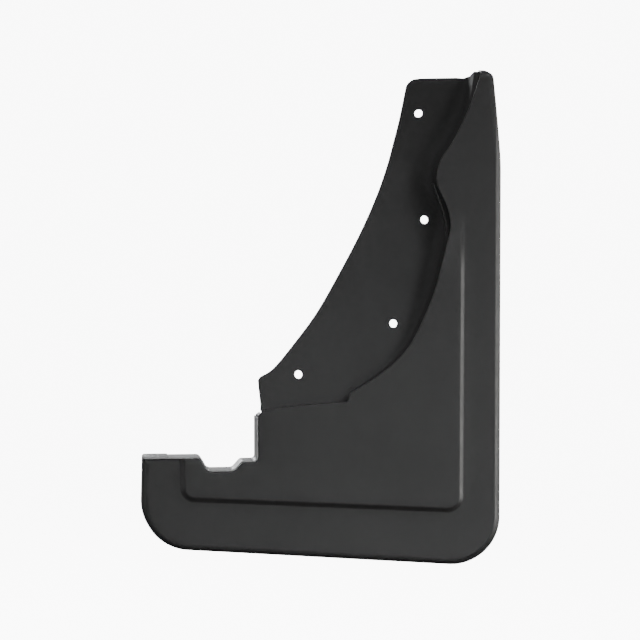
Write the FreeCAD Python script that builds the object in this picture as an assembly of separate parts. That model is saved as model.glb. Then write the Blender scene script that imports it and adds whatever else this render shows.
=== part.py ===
import FreeCAD, Part
import math
import os

# Moulded mud flap (splash guard), right-hand one of a handed pair.
# Frame, millimetres: origin on the axis of the top arch hole, mid-way through
# the wing sheet.  +X outboard, +Y towards the tyre, +Z up.  The styled face
# looks along -Y.

# ---------------------------------------------------------------- dimensions
Y_FACE = -33.7            # front plane of the plain border
FIELD_H = 3.0             # height of the raised field over the border
T_WALL = 3.0              # wall thickness of both mouldings
WALL_D = 20.0             # depth of the return walls behind the border plane
RIM_R = 5.0               # rolled front edge of the border
LAND_H = 2.0              # thickened land under the lap joint
LAP_T = 3.0               # lap flange of the wing
TRIM_T = 1.5              # light edge trim in the rocker notch
TRIM_D = 20.0             # depth of the trim strip
FIELD_TOP = -72.0         # the field's side step starts here ...
FIELD_FULL = -128.0       # ... and has its full height from here down
ARCH_HOLE_R = 3.25        # four open arch holes
LEDGE_HOLE_R = 2.5        # hole in the notch ledge
BOSS_R, BOSS_H = 4.5, 2.8
SCREW_CORE_R = 1.7        # screw shank, formed thread left out
HEAD_R, HEAD_H = 4.2, 2.6
WASHER_R, WASHER_T = 7.0, 1.2
SEAL_W, SEAL_T = 2.5, 3.5 # foam strip on the rear rim of the outer wall
PAD_L, PAD_H = 19.0, 0.8  # raised pad of the trim round the ledge hole
FLEX_Z = -290.0           # flex line of the lower skirt
FLEX_Y = Y_FACE - FIELD_H - 0.5
FLEX_MAX = 12.0           # flex either way, degrees
FLEX_GAP = 0.3

# perimeter of the panel, clockwise from the top of its inner edge: x, z, corner radius
PERIMETER = [((45.35, 34.5), 0), ((54.6, 34.5), 6), ((61.6, -35.8), 220),
             ((61.2, -354.7), 37), ((-220.7, -335.2), 38), ((-218.95, -263.8), 0)]
# outer face of the notch trim, from the inboard end to the foot of the wing
NOTCH = [((-218.95, -263.8), 0), ((-174.5, -263.8), 4), ((-168.5, -274.3), 5),
         ((-148.8, -274.3), 5), ((-142.5, -267.3), 3), ((-131.1, -267.3), 2.5),
         ((-131.1, -235.0), 0)]
# inner edge of the panel's face, from the top down to the foot of the wing
INNER = [(45.11, 34.5), (41.29, 22.35), (37.37, 10.83), (30.64, -4.48), (23.9, -17.88),
         (19.07, -25.46), (14.35, -31.8), (11.13, -41.26), (10.22, -49.8), (12.33, -57.2),
         (17.97, -68.9), (20.9, -80.5), (20.9, -89.5), (17.8, -101.6), (13.48, -118.35),
         (7.8, -138.4), (-0.4, -158.2), (-9.3, -176.2), (-20.3, -189.4), (-32.12, -199.35),
         (-47.51, -209.43), (-57.26, -214.96)]
INNER_FOOT = [(-59.77, -222.17), (-92.75, -224.32), (-109.04, -226.35), (-119.9, -228.35),
              (-126.6, -230.3)]
# free edge of the wing, from its foot up and round its top
ARCH_LOW = [(-126.9, -227.6), (-126.53, -224.06), (-127.77, -211.95), (-128.37, -204.9)]
ARCH_EDGE = [(-126.5, -202.4), (-121.8, -200.3), (-116.56, -196.6), (-109.23, -189.0),
             (-97.63, -175.14), (-87.07, -162.0), (-77.51, -148.33), (-65.32, -128.0),
             (-49.96, -101.0), (-39.16, -79.8), (-29.89, -58.8), (-22.5, -38.16),
             (-19.0, -24.5), (-14.4, -5.58), (-10.14, 16.75), (-9.3, 20.82)]
ARCH_TOP = [(-4.81, 25.14), (1.01, 26.49), (33.72, 26.91)]
# outboard limit of the lap flange behind the panel
LAP = [(50.2, 27.0), (51.6, -3.5), (48.6, -23.6), (42.8, -43.6), (42.8, -93.9), (35.8, -134.1),
       (24.7, -164.1), (11.65, -189.1), (-8.46, -208.0), (-33.6, -225.8), (-48.7, -239.7),
       (-78.8, -245.4), (-109.0, -245.1), (-120.5, -241.9)]
# outer foot of the raised field's step
STEP = [((33.45, -60.0), 0), ((32.3, -311.6), 13), ((-190.6, -299.4), 12), ((-191.6, -250.0), 0)]
# hollow behind the raised field
HOLLOW = [(28.2, -178.7), (28.2, -292.3), (22.2, -303.3), (1.1, -306.1), (-180.9, -296.6),
          (-187.5, -289.0), (-187.5, -273.5), (-173.9, -281.5), (-143.8, -281.5), (-136.5, -274.5),
          (-124.6, -274.5), (-124.6, -250.2), (-77.4, -250.2), (-43.2, -244.3), (-4.0, -212.5),
          (17.2, -193.7)]
# arch holes: x, z
HOLES = [(0.0, 0.0), (4.6, -83.4), (-21.4, -163.4), (-97.3, -201.1)]
# screws that join the two mouldings: x, z
SCREWS = [(43.6, -5.5), (28.8, -57.6), (30.8, -105.9), (13.7, -162.0), (-17.5, -206.9), (-78.8, -235.4)]
LEDGE_HOLE_X, LEDGE_HOLE_Y = -210.4, Y_FACE + 9.0

# the wing is two flat stretches that meet in a soft crease
CREASE = (-21.2, 2.3, -34.2)
LOW_B, LOW_C = 0.0998, 0.1445       # y per x, y per z below the crease
UP_B, UP_C = 0.0090, -0.11698       # above it
CREASE_R = 25.0

V = FreeCAD.Vector
YF = Y_FACE
FF = Y_FACE - FIELD_H
LAP_Y = YF + T_WALL + LAND_H


# ------------------------------------------------------------------- helpers
def spline_pts(pts, n=3):
    """Points of a Catmull-Rom curve through pts, n spans per stretch."""
    out = []
    p = [pts[0]] + list(pts) + [pts[-1]]
    for i in range(1, len(p) - 2):
        p0, p1, p2, p3 = p[i - 1], p[i], p[i + 1], p[i + 2]
        for k in range(n):
            t = k / n
            out.append(tuple(0.5 * ((2 * b) + (c - a) * t + (2 * a - 5 * b + 4 * c - d) * t * t
                                    + (3 * b - a - 3 * c + d) * t ** 3)
                             for a, b, c, d in zip(p0, p1, p2, p3)))
    out.append(tuple(pts[-1]))
    return out


def shift(pts, d):
    """Open polyline moved d to the left of its direction of travel (x, z plane)."""
    segs = []
    for (x0, z0), (x1, z1) in zip(pts, pts[1:]):
        L = math.hypot(x1 - x0, z1 - z0)
        nx, nz = -(z1 - z0) / L, (x1 - x0) / L
        segs.append(((x0 + nx * d, z0 + nz * d), (x1 + nx * d, z1 + nz * d)))
    out = [segs[0][0]]
    for (a, b), (c, e) in zip(segs, segs[1:]):
        r = (b[0] - a[0], b[1] - a[1])
        s = (e[0] - c[0], e[1] - c[1])
        den = r[0] * s[1] - r[1] * s[0]
        if abs(den) < 0.02 * math.hypot(*r) * math.hypot(*s):
            out.append(((b[0] + c[0]) / 2, (b[1] + c[1]) / 2))
        else:
            t = ((c[0] - a[0]) * s[1] - (c[1] - a[1]) * s[0]) / den
            out.append((a[0] + r[0] * t, a[1] + r[1] * t))
    out.append(segs[-1][1])
    return out


def shift_r(chain, d):
    """The same for a chain with corner radii; the radii follow the offset."""
    pts = shift([p for p, r in chain], d)
    out = []
    for i, (p, r) in enumerate(chain):
        if r and 0 < i < len(chain) - 1:
            a, b, c = chain[i - 1][0], p, chain[i + 1][0]
            turn = (b[0] - a[0]) * (c[1] - b[1]) - (b[1] - a[1]) * (c[0] - b[0])
            r = max(r - d if turn > 0 else r + d, 0.3)
        out.append((pts[i], r))
    return out


def edges_of(chain, y):
    """Lines and tangent arcs along a chain of corners with radii, at depth y."""
    cur = V(chain[0][0][0], y, chain[0][0][1])
    out = []
    for i in range(1, len(chain)):
        p, r = chain[i]
        P = V(p[0], y, p[1])
        if r <= 0 or i == len(chain) - 1:
            if (P - cur).Length > 1e-6:
                out.append(Part.LineSegment(cur, P).toShape())
            cur = P
            continue
        A = V(chain[i - 1][0][0], y, chain[i - 1][0][1])
        B = V(chain[i + 1][0][0], y, chain[i + 1][0][1])
        u, w = (A - P).normalize(), (B - P).normalize()
        ang = u.getAngle(w)
        t = r / math.tan(ang / 2)
        p1, p2 = P + u * t, P + w * t
        bis = (u + w).normalize()
        mid = P + bis * (r / math.sin(ang / 2) - r)
        if (p1 - cur).Length > 1e-6:
            out.append(Part.LineSegment(cur, p1).toShape())
        out.append(Part.Arc(p1, mid, p2).toShape())
        cur = p2
    return out


def poly_edges(pts, y):
    return [Part.LineSegment(V(a[0], y, a[1]), V(b[0], y, b[1])).toShape()
            for a, b in zip(pts, pts[1:]) if math.hypot(a[0] - b[0], a[1] - b[1]) > 1e-6]


def prism(parts, y0, y1):
    """Closed outline made of chains (with radii) or plain point lists, from y0 to y1."""
    edges, last, first = [], None, None
    for part in parts:
        chain = [(p, 0) if not isinstance(p[0], tuple) else p for p in part]
        if first is None:
            first = chain[0][0]
        if last is not None and math.hypot(last[0] - chain[0][0][0], last[1] - chain[0][0][1]) > 1e-6:
            edges += poly_edges([last, chain[0][0]], y0)
        edges += edges_of(chain, y0)
        last = chain[-1][0]
    if math.hypot(last[0] - first[0], last[1] - first[1]) > 1e-6:
        edges += poly_edges([last, first], y0)
    face = Part.Face(Part.Wire(edges))
    solid = face.extrude(V(0, y1 - y0, 0))
    if solid.Volume < 0:
        solid.reverse()
    return solid


def band(front, back):
    """Layer between two offsets of the wing's bent centre plane, measured towards +Y."""
    c = V(*CREASE)
    n1 = V(LOW_B, -1, LOW_C).normalize()
    n2 = V(UP_B, -1, UP_C).normalize()
    d = n1.cross(n2).normalize()
    if d.x < 0:
        d = d * -1
    t1, t2 = d.cross(n1).normalize(), d.cross(n2).normalize()
    if t1.z > 0:
        t1 = t1 * -1            # runs down from the crease
    if t2.z < 0:
        t2 = t2 * -1            # runs up from it
    ang = t1.getAngle(t2)

    def line(off):
        r = CREASE_R - off      # the centre of the bend lies towards -Y... of a ridge to +Y
        m = c - (n1 + n2).normalize() * (off / math.cos((math.pi - ang) / 2))
        t = r / math.tan(ang / 2)
        p1, p2 = m + t1 * t, m + t2 * t
        bis = (t1 + t2).normalize()
        mid = m + bis * (r / math.sin(ang / 2) - r)
        return p1 + t1 * 330, p1, mid, p2, p2 + t2 * 130
    f, b = line(front), line(back)
    e = [Part.LineSegment(f[0], f[1]).toShape(), Part.Arc(f[1], f[2], f[3]).toShape(),
         Part.LineSegment(f[3], f[4]).toShape(), Part.LineSegment(f[4], b[4]).toShape(),
         Part.LineSegment(b[4], b[3]).toShape(), Part.Arc(b[3], b[2], b[1]).toShape(),
         Part.LineSegment(b[1], b[0]).toShape(), Part.LineSegment(b[0], f[0]).toShape()]
    face = Part.Face(Part.Wire(e))
    face.translate(d * -260)
    s = face.extrude(d * 460)
    if s.Volume < 0:
        s.reverse()
    return s


def low_y(x, z):
    return CREASE[1] + LOW_B * (x - CREASE[0]) + LOW_C * (z - CREASE[2])


def cyl(r, h, x, y, z, axis=V(0, 1, 0)):
    return Part.makeCylinder(r, h, V(x, y, z), axis)


def one(shape, name):
    shape = shape.removeSplitter()
    sol = shape.Solids
    big = max(sol, key=lambda s: s.Volume)
    rest = sum(s.Volume for s in sol) - big.Volume
    print("%-20s solids %d volume %.0f rest %.3f valid %s" % (name, len(sol), big.Volume, rest, big.isValid()))
    return big


# ------------------------------------------------------------- outer panel
inner_pts = spline_pts(INNER, 3) + INNER_FOOT
outer_chain = PERIMETER
notch_panel = shift_r(NOTCH, -TRIM_T)          # the panel's own notch wall stands inside the trim
notch_panel[0] = ((PERIMETER[-1][0][0], notch_panel[0][0][1]), 0)
notch_panel[-1] = ((notch_panel[-1][0][0], -232.0), 0)
perim = [(p, r) for p, r in outer_chain[:-1]] + [((-218.95, notch_panel[0][0][1]), 0)]
foot_up = [(-127.6, -230.6)]
outline = [perim + notch_panel[1:], foot_up, list(reversed(inner_pts))]

sheet = prism(outline, YF, YF + T_WALL)

# return walls round the perimeter and the notch
full = prism(outline, YF, YF + WALL_D)
in_perim = shift_r(perim, -T_WALL)
in_notch = shift_r(notch_panel, -T_WALL)
# meet the two inner chains in the ledge corner
in_perim[-1] = ((in_perim[-1][0][0], in_notch[0][0][1]), 0)
in_notch[0] = in_perim[-1]
cavity = prism([[((20.0, in_perim[0][0][1]), 0)] + in_perim + in_notch[1:],
                [(in_notch[-1][0][0], -200.0), (-60.0, -150.0)]], YF + T_WALL, YF + WALL_D + 1)
walls = full.cut(cavity)
# nothing of the side of the wall stands along the inner edge
keep_out = prism([[(45.0, 60.0)] + shift(inner_pts, 0.0)[0:] + [(-128.0, -232.0), (-200.0, -232.0), (-200.0, 60.0)]],
                 YF + T_WALL, YF + WALL_D + 1)
walls = walls.cut(keep_out)

# raised field with a faded upper end
field_chain = [(p, r) for p, r in STEP]
field = prism([field_chain, [(-130.0, -250.0), (-130.0, -200.0), (0.0, -60.0)]], FF, YF + 0.5)
field = field.common(prism(outline, FF - 1, YF + 1))
ramp = Part.Face(Part.makePolygon([V(-60, YF, FIELD_TOP), V(-60, FF - 2, FIELD_TOP), V(-60, FF - 2, FIELD_FULL),
                                   V(-60, FF, FIELD_FULL), V(-60, YF, FIELD_TOP)])).extrude(V(140, 0, 0))
ramp2 = Part.Face(Part.makePolygon([V(-60, YF + 0.2, 0), V(-60, FF - 2, 0), V(-60, FF - 2, FIELD_TOP),
                                    V(-60, YF, FIELD_TOP), V(-60, YF + 0.2, FIELD_TOP), V(-60, YF + 0.2, 0)])).extrude(V(140, 0, 0))
field = field.cut(ramp).cut(ramp2)

# land under the lap joint
lap_pts = spline_pts(LAP, 2)
land = prism([inner_pts[2:] + [(-128.6, -232.5), (-128.6, -241.0)], list(reversed(lap_pts))],
             YF + T_WALL - 0.5, LAP_Y)
land = land.common(prism(outline, YF, LAP_Y))

shell = one(sheet.fuse(walls), "panel shell")
# rolled front edge along the outer side and the bottom
lip = []
for e in shell.Edges:
    b = e.BoundBox
    if abs(b.YMin - YF) < 0.01 and abs(b.YMax - YF) < 0.01:
        c = e.valueAt((e.FirstParameter + e.LastParameter) / 2)
        if (c.x > 58.0 and c.z < 25) or c.z < -318 or (c.x < -205 and c.z < -270):
            lip.append(e)
try:
    rolled = shell.makeFillet(RIM_R, lip)
    if rolled.isValid() and rolled.Volume > 0.9 * shell.Volume:
        shell = rolled.Solids[0]
        print("rim rolled over", len(lip), "edges")
except Exception as err:
    print("rim left square:", err, [(round(e.valueAt(e.FirstParameter).x), round(e.valueAt(e.FirstParameter).z), round(e.Length)) for e in lip])

panel = shell.fuse([field, land])
hollow = prism([HOLLOW], YF - 0.2, YF + T_WALL + 0.01)
panel = panel.cut(hollow)

# stiffening ribs behind the raised field
ribs = []
for x, top in ((-150.0, -286.5), (-100.0, -252.5), (-55.0, -249.0), (-10.0, -219.0)):
    ribs.append(Part.makeBox(2.0, 6.9, top + 352.0, V(x - 1, YF + 0.5, -352.0)))
    ribs.append(Part.makeBox(2.0, 2.0, top + 352.0, V(x - 1, YF - 0.6, -352.0)).common(prism([HOLLOW], YF - 1, YF + 2)))
ribs = ribs[0].fuse(ribs[1:]).common(prism([shift_r(perim, -T_WALL + 0.5), [(-218.95 + 2.5, -280.0), (-190.0, -284.0), (-140.0, -284.0), (-120.0, -230.0), (20.0, -120.0)]], YF - 1, YF + 9))
panel = panel.fuse(ribs)

# screw bosses on the land
for x, z in SCREWS:
    panel = panel.fuse(cyl(BOSS_R, BOSS_H + 0.5, x, LAP_Y - 0.5, z))
for x, z in SCREWS:
    panel = panel.cut(cyl(SCREW_CORE_R, 7.4 - WASHER_T + 0.3 + 0.01, x, LAP_Y + BOSS_H - 6.3, z))
# hole through the ledge, upright
panel = panel.cut(cyl(LEDGE_HOLE_R, 12, LEDGE_HOLE_X, LEDGE_HOLE_Y, NOTCH[0][0][1] - 8, V(0, 0, 1)))
panel = one(panel, "panel whole")

# split along the flex line: a thin gap in front that widens towards the back
far = 60.0
top_cut = FLEX_Z + FLEX_GAP / 2
drop = far * math.tan(math.radians(FLEX_MAX + 1.0))
gap = Part.Face(Part.makePolygon([V(-260, FLEX_Y - 3, top_cut), V(-260, FLEX_Y + far, top_cut),
                                  V(-260, FLEX_Y + far, top_cut - FLEX_GAP - drop),
                                  V(-260, FLEX_Y, top_cut - FLEX_GAP), V(-260, FLEX_Y - 3, top_cut - FLEX_GAP),
                                  V(-260, FLEX_Y - 3, top_cut)])).extrude(V(400, 0, 0))
parts2 = panel.cut(gap).Solids
upper = max(parts2, key=lambda s: s.BoundBox.ZMax)
lower = min(parts2, key=lambda s: s.BoundBox.ZMin)
print("split into", len(parts2), [round(s.Volume) for s in parts2])

# ------------------------------------------------------------------ the wing
under = shift(inner_pts, T_WALL + 0.6)            # runs down, so left is outboard
arch_pts = ARCH_LOW + spline_pts(ARCH_EDGE, 2) + ARCH_TOP
wing_out = prism([arch_pts, [(under[0][0], 26.9)] + [p for p in under if p[1] < 26.0]], -80, 40)
wing_sheet = band(0.0, T_WALL).common(wing_out)
in_front = band(-120.0, T_WALL)
strip_in = shift(inner_pts, 0.6)
wall_a = [(strip_in[0][0], 26.9)] + [p for p in strip_in if p[1] < 26.0]
wall_b = [(under[0][0], 26.9)] + [p for p in under if p[1] < 26.0]
wing_wall = prism([wall_a, list(reversed(wall_b))], LAP_Y, 40).common(in_front)
lap = prism([wall_a, list(reversed(lap_pts))], LAP_Y, LAP_Y + LAP_T)
wing = wing_sheet.fuse([wing_wall, lap])
# clear of the panel: 0.2 mm beyond its edge, nothing in front of the lap joint
clear = prism([[(80.0, 50.0), (80.0, -260.0), (-140.0, -260.0), (-140.0, -230.9), (-127.6, -230.85)]
               + list(reversed(shift(inner_pts, -0.2)))[1:]], YF - 20, LAP_Y)
wing = wing.cut(clear)
for x, z in SCREWS:
    wing = wing.cut(cyl(BOSS_R + 0.4, 12, x, LAP_Y - 2, z))
n1 = V(-LOW_B, 1, -LOW_C).normalize()
n2 = V(-UP_B, 1, -UP_C).normalize()
for i, (x, z) in enumerate(HOLES):
    n = n2 if i == 0 else n1
    y = 0.0 if i == 0 else low_y(x, z) + T_WALL / 2 / n1.y
    if i == 0:
        y = 0.0
    p = V(x, y, z)
    wing = wing.cut(Part.makeCylinder(ARCH_HOLE_R, 20, p - n * 10, n))
    print("arch hole", i, [round(v, 3) for v in (p.x, p.y, p.z)], "axis", [round(v, 5) for v in (n.x, n.y, n.z)])
# stay clear of the panel's return walls
wing = wing.cut(upper)
wing = one(wing, "arch_wing")

# ------------------------------------------------------------- notch trim
trim_in = notch_panel
trim_top = -236.2
t_out = [(p, r) for p, r in NOTCH]
t_out[-1] = ((t_out[-1][0][0], trim_top), 0)
t_in = [(p, r) for p, r in notch_panel]
t_in[-1] = ((t_in[-1][0][0], trim_top), 0)
trim = prism([t_out, list(reversed(t_in))], FF + 0.5, FF + 0.5 + TRIM_D)
trim = trim.fuse(Part.makeBox(PAD_L, TRIM_D - 2.0, PAD_H + 0.5, V(NOTCH[0][0][0] + 0.5, FF + 1.5, NOTCH[0][0][1] - 0.5)))
trim = trim.cut(cyl(LEDGE_HOLE_R, 12, LEDGE_HOLE_X, LEDGE_HOLE_Y, NOTCH[0][0][1] - 6, V(0, 0, 1)))
trim = one(trim, "notch_edge_trim")

# --------------------------------------------------------- screws and washers
screws, washers = [], []
for x, z in SCREWS:
    y0 = LAP_Y + LAP_T
    washers.append(cyl(WASHER_R, WASHER_T, x, y0, z).cut(cyl(2.2, 5, x, y0 - 1, z)))
    head = cyl(HEAD_R, HEAD_H, x, y0 + WASHER_T, z)
    head = head.makeFillet(1.0, [e for e in head.Edges if abs(e.BoundBox.YMin - (y0 + WASHER_T + HEAD_H)) < 1e-3
                                 and abs(e.BoundBox.YMax - (y0 + WASHER_T + HEAD_H)) < 1e-3])
    head = head.cut(Part.makeBox(5.0, 1.4, 1.1, V(x - 2.5, y0 + WASHER_T + HEAD_H - 1.4, z - 0.55)))
    head = head.cut(Part.makeBox(1.1, 1.4, 5.0, V(x - 0.55, y0 + WASHER_T + HEAD_H - 1.4, z - 2.5)))
    shank = cyl(SCREW_CORE_R, 7.4 + 0.1, x, y0 + WASHER_T - 7.4, z)
    screws.append(head.fuse(shank).removeSplitter().Solids[0])

# ------------------------------------------- foam strip on the outer wall's rim
rim = shift_r([(p, r) for p, r in PERIMETER[:4]], -0.25)
rim[0] = ((47.5, rim[0][0][1]), 0)
rim[-1] = ((rim[-1][0][0], -262.0), 0)
rim_in = shift_r(rim, -SEAL_W)
seal = prism([rim, list(reversed(rim_in))], YF + WALL_D, YF + WALL_D + SEAL_T)
seal = one(seal, "fender_edge_seal")

os.makedirs("parts", exist_ok=True)
nodes = {
    "outer_panel": upper,
    "lower_skirt": lower,
    "arch_wing": wing,
    "notch_edge_trim": trim,
    "fender_edge_seal": seal,
    "joint_screws": Part.makeCompound(screws),
    "joint_washers": Part.makeCompound(washers),
}
for name, shape in nodes.items():
    shape.exportStep("parts/%s.step" % name)
    b = shape.BoundBox
    print("%-18s vol %8.0f  x %.1f..%.1f  y %.1f..%.1f  z %.1f..%.1f valid %s" % (
        name, shape.Volume, b.XMin, b.XMax, b.YMin, b.YMax, b.ZMin, b.ZMax, shape.isValid()))
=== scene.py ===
import bpy
import math
import numpy as np
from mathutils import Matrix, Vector
from mathutils.geometry import delaunay_2d_cdt


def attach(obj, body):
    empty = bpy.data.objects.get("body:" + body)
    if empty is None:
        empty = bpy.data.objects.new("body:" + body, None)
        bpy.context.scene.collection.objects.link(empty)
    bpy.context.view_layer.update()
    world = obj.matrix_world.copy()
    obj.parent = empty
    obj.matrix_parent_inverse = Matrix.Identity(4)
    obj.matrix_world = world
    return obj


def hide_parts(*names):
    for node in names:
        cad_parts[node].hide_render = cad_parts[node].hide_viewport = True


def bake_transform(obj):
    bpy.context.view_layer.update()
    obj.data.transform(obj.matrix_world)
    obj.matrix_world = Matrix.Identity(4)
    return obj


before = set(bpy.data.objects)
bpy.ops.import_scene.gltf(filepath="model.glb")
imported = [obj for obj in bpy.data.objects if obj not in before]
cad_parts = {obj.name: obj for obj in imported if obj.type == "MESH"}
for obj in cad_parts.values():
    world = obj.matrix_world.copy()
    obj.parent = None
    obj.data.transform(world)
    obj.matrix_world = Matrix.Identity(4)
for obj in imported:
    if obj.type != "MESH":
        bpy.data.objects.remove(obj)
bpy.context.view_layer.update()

# --------------------------------------------------------------- dimensions, mm
Y_FACE, FIELD_H, T_WALL, WALL_D = -33.7, 3.0, 3.0, 20.0
LAND_H, LAP_T, TRIM_T = 2.0, 3.0, 1.5
LAP_Y = Y_FACE + T_WALL + LAND_H
FF = Y_FACE - FIELD_H
FIELD_TOP, FIELD_FULL = -72.0, -128.0
PERIMETER = [((45.35, 34.5), 0), ((54.6, 34.5), 6), ((61.6, -35.8), 220),
             ((61.2, -354.7), 37), ((-220.7, -335.2), 38), ((-218.95, -265.3), 0)]
NOTCH = [((-218.95, -263.8), 0), ((-174.5, -263.8), 4), ((-168.5, -274.3), 5),
         ((-148.8, -274.3), 5), ((-142.5, -267.3), 3), ((-131.1, -267.3), 2.5),
         ((-131.1, -234.2), 0)]
INNER = [(45.11, 34.5), (41.29, 22.35), (37.37, 10.83), (30.64, -4.48), (23.9, -17.88),
         (19.07, -25.46), (14.35, -31.8), (11.13, -41.26), (10.22, -49.8), (12.33, -57.2),
         (17.97, -68.9), (20.9, -80.5), (20.9, -89.5), (17.8, -101.6), (13.48, -118.35),
         (7.8, -138.4), (-0.4, -158.2), (-9.3, -176.2), (-20.3, -189.4), (-32.12, -199.35),
         (-47.51, -209.43), (-57.26, -214.96)]
INNER_FOOT = [(-59.77, -222.17), (-76.0, -223.2), (-92.75, -224.32), (-109.04, -226.0), (-119.9, -227.3),
              (-126.6, -227.9)]
ARCH_LOW = [(-126.9, -227.6), (-126.53, -224.06), (-127.77, -211.95), (-128.37, -204.9)]
ARCH_EDGE = [(-126.5, -202.4), (-121.8, -200.3), (-116.56, -196.6), (-109.23, -189.0),
             (-97.63, -175.14), (-87.07, -162.0), (-77.51, -148.33), (-65.32, -128.0),
             (-49.96, -101.0), (-39.16, -79.8), (-29.89, -58.8), (-22.5, -38.16),
             (-19.0, -24.5), (-14.4, -5.58), (-10.14, 16.75), (-9.3, 20.82)]
ARCH_TOP = [(-7.6, 23.6), (-4.81, 25.4), (1.01, 26.49), (33.72, 26.91)]
LAP = [(50.2, 27.0), (51.6, -3.5), (48.6, -23.6), (42.8, -43.6), (42.8, -93.9), (35.8, -134.1),
       (24.7, -164.1), (11.65, -189.1), (-8.46, -208.0), (-33.6, -225.8), (-48.7, -239.7),
       (-78.8, -245.4), (-109.0, -245.1), (-120.5, -241.9)]
STEP = [((33.45, -40.0), 0), ((32.3, -311.6), 13), ((-190.6, -299.4), 12), ((-191.6, -240.0), 0)]
HOLES = [(0.0, 0.0), (4.6, -83.4), (-21.4, -163.4), (-97.3, -201.1)]
HOLE_R = 3.25
SCREWS = [(43.6, -5.5), (28.8, -57.6), (30.8, -105.9), (13.7, -162.0), (-17.5, -206.9), (-78.8, -235.4)]
LEDGE_HOLE = (-210.4, Y_FACE + 9.0)
CREASE = (-21.2, 2.3, -34.2)
LOW_B, LOW_C, UP_B, UP_C = 0.0998, 0.1445, 0.0090, -0.11698
FLEX_Z = -290.0


# ---------------------------------------------------------------- 2-D helpers
def spline_pts(pts, n=3):
    out = []
    p = [pts[0]] + list(pts) + [pts[-1]]
    for i in range(1, len(p) - 2):
        p0, p1, p2, p3 = p[i - 1], p[i], p[i + 1], p[i + 2]
        for k in range(n):
            t = k / n
            out.append(tuple(0.5 * ((2 * b) + (c - a) * t + (2 * a - 5 * b + 4 * c - d) * t * t
                                    + (3 * b - a - 3 * c + d) * t ** 3)
                             for a, b, c, d in zip(p0, p1, p2, p3)))
    out.append(tuple(pts[-1]))
    return out


def resample(pts, step):
    p = np.array(pts, float)
    s = np.concatenate([[0], np.cumsum(np.hypot(*np.diff(p, axis=0).T))])
    n = max(2, int(round(s[-1] / step)) + 1)
    t = np.linspace(0, s[-1], n)
    return np.stack([np.interp(t, s, p[:, 0]), np.interp(t, s, p[:, 1])], 1)


def cross2(a, b):
    return a[0] * b[1] - a[1] * b[0]


class Chain:
    """Corners with radii.  sample(d) gives the same points at any offset d to the right
    of the direction of travel; factor scales the offset edge by edge."""

    def __init__(self, corners, closed=True, factor=None, step=2.0, arc_n=None, edge_n=None):
        self.p = [np.array(c[0], float) for c in corners]
        self.r = [c[1] for c in corners]
        self.closed = closed
        n = len(self.p)
        self.ne = n if closed else n - 1
        self.f = factor or [1.0] * self.ne
        self.arc = []
        self.sub = []
        for i in range(n):
            if self.r[i] > 0:
                a, b, c = self.p[i - 1], self.p[i], self.p[(i + 1) % n]
                u, v = b - a, c - b
                ang = abs(math.atan2(cross2(u, v), float(u @ v)))
                self.arc.append(arc_n or max(4, int(round(ang * max(self.r[i], 3.0) / step)) + 1))
            else:
                self.arc.append(1)
        for i in range(self.ne):
            L = float(np.linalg.norm(self.p[(i + 1) % n] - self.p[i]))
            m = max(1, int(round(L / step)))
            if edge_n and i in edge_n:
                m = edge_n[i]
            self.sub.append(m)

    def sample(self, d):
        n = len(self.p)
        lines = []
        for i in range(self.ne):
            a, b = self.p[i], self.p[(i + 1) % n]
            t = (b - a) / np.linalg.norm(b - a)
            nr = np.array([t[1], -t[0]])
            o = nr * (d * self.f[i])
            lines.append((a + o, b + o, t))
        cor = []
        for i in range(n):
            e0, e1 = i - 1, i
            if not self.closed and i == 0:
                cor.append(lines[0][0]); continue
            if not self.closed and i == n - 1:
                cor.append(lines[-1][1]); continue
            a, b, t0 = lines[e0 % self.ne]
            c, e, t1 = lines[e1 % self.ne]
            den = cross2(t0, t1)
            if abs(den) < 0.02:
                cor.append((b + c) / 2)
            else:
                k = cross2(c - a, t1) / den
                cor.append(a + t0 * k)
        pts, self.owner = [], []
        tang = []
        for i in range(n):
            if self.arc[i] == 1:
                tang.append((cor[i], cor[i], None)); continue
            t0 = (cor[i] - cor[i - 1]) / np.linalg.norm(cor[i] - cor[i - 1])
            nx = cor[(i + 1) % n]
            t1 = (nx - cor[i]) / np.linalg.norm(nx - cor[i])
            turn = cross2(t0, t1)
            dd = d * self.f[(i - 1) % self.ne]
            r = self.r[i] + (dd if turn > 0 else -dd)
            r = max(r, 0.05)
            ang = math.atan2(abs(turn), float(t0 @ t1))
            tl = r * math.tan(ang / 2)
            f0 = 0.48 if self.r[i - 1] > 0 else 0.95
            f1 = 0.48 if self.r[(i + 1) % n] > 0 else 0.95
            lim = min(f0 * np.linalg.norm(cor[i] - cor[i - 1]), f1 * np.linalg.norm(nx - cor[i]))
            if tl > lim:
                tl = lim
                r = tl / math.tan(ang / 2)
            p1, p2 = cor[i] - t0 * tl, cor[i] + t1 * tl
            sgn = 1 if turn > 0 else -1
            ctr = p1 + np.array([-t0[1], t0[0]]) * sgn * r
            a0 = math.atan2(*(p1 - ctr)[::-1])
            m = self.arc[i]
            seg = [ctr + r * np.array([math.cos(a0 + sgn * ang * k / (m - 1)), math.sin(a0 + sgn * ang * k / (m - 1))])
                   for k in range(m)]
            tang.append((p1, p2, seg))
        for i in range(n):
            if tang[i][2] is None:
                pts.append(cor[i]); self.owner.append(i if i < self.ne else self.ne - 1)
            else:
                pts += tang[i][2]; self.owner += [i if i < self.ne else self.ne - 1] * len(tang[i][2])
            if i < self.ne:
                a, b = tang[i][1], tang[(i + 1) % n][0]
                for k in range(1, self.sub[i]):
                    pts.append(a + (b - a) * (k / self.sub[i])); self.owner.append(i)
        return np.array(pts)


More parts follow.
